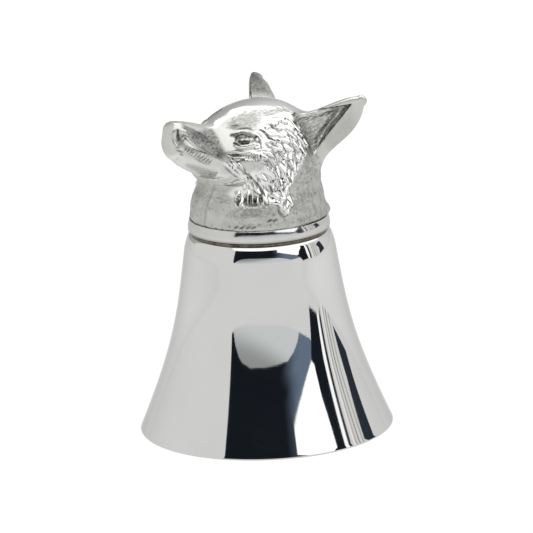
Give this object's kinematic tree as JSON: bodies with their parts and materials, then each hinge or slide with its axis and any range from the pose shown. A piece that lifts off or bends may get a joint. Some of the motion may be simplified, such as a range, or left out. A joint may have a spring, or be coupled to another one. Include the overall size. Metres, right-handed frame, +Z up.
{
  "type": "stirrup cup",
  "caption": "Stirrup cup: a polished bell-shaped bowl that stands on its mouth, a plain collar and a hollow cast fox's head that serves as the grip.",
  "frame": {"origin": "centre of the mouth, on the plane that the cup stands on", "axes": "+Z up along the bell's axis, -Y the way the fox looks, +X the fox's left"},
  "size_m": [0.0654, 0.0654, 0.0869],
  "materials": {
    "polished_pewter": "mirror polished",
    "cast_pewter": "cast, burnished on the high places",
    "solder": "dull"
  },
  "bodies": {
    "root": {"cup_bowl": "polished_pewter", "collar_solder": "solder", "collar_ring": "polished_pewter", "head_left_half": "cast_pewter", "head_right_half": "cast_pewter"}
  },
  "joints": []
}
